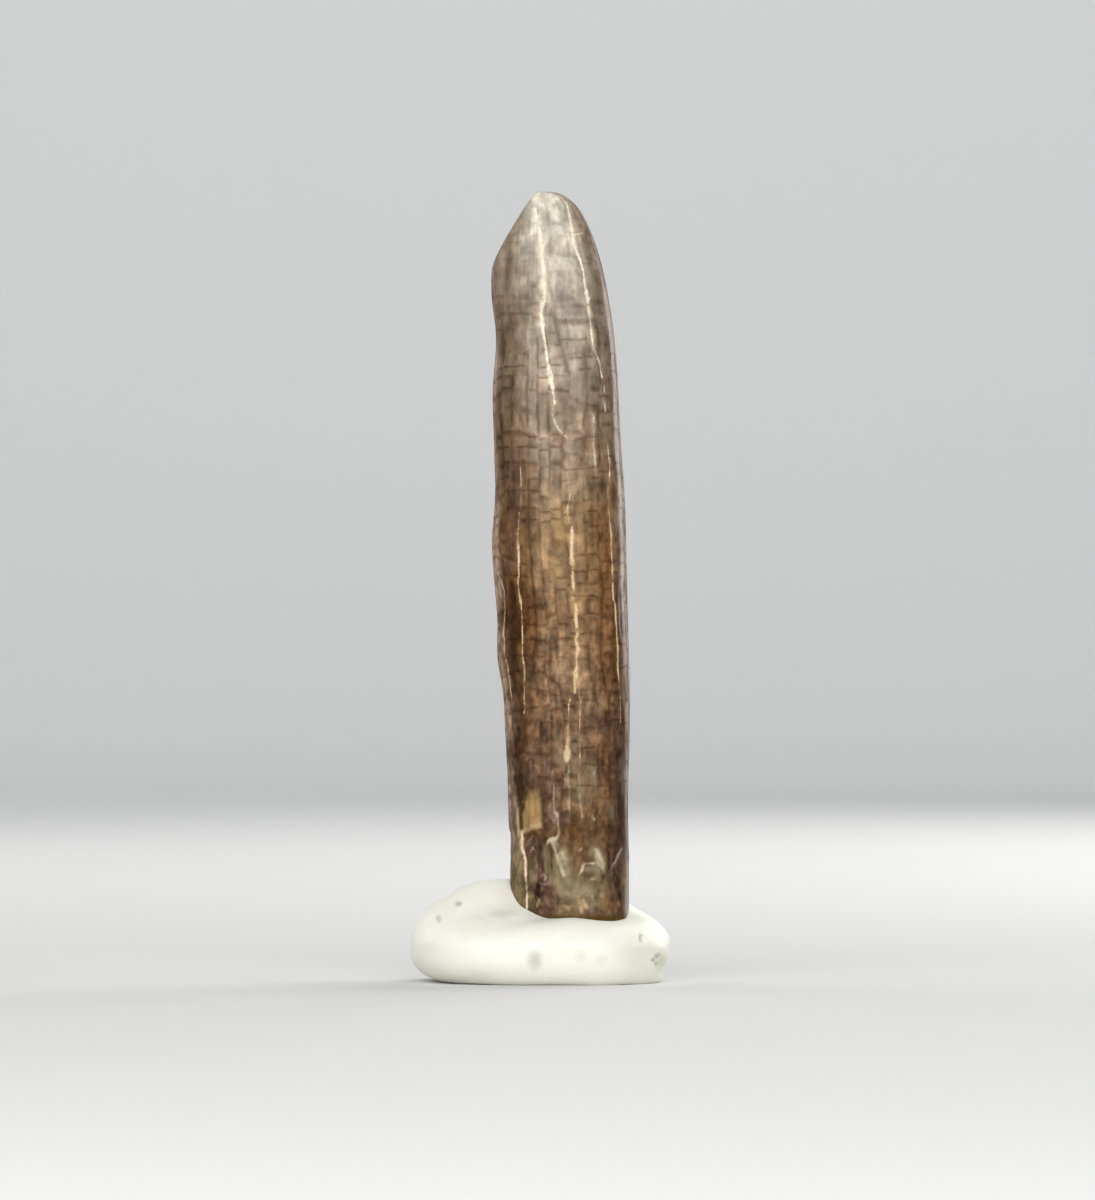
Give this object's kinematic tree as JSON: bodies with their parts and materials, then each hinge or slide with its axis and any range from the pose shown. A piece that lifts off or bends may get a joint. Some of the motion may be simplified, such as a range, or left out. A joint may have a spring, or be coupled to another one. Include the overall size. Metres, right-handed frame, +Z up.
{
  "type": "fossil sauropod tooth in mounting putty",
  "caption": "Long peg-shaped fossil sauropod tooth with a worn tip and cracked brown enamel, standing in a lump of white mounting putty with a flat underside.",
  "frame": {"origin": "centre of the flat underside of the putty, which is the centre of the bottom of the whole part's box", "axes": "+Z up along the tooth to its tip, -Y out of the tooth's front face, +X to the right seen from the front, towards the sliced end of the putty"},
  "size_m": [0.0152, 0.0126, 0.0458],
  "materials": {
    "enamel": "glossy fossil enamel, brown with a pale tip, cream crack fillings and fine dark crackle",
    "putty": "matt white kneaded putty with a few grey specks"
  },
  "bodies": {
    "root": {"tooth": "enamel", "putty_base": "putty"}
  },
  "joints": []
}
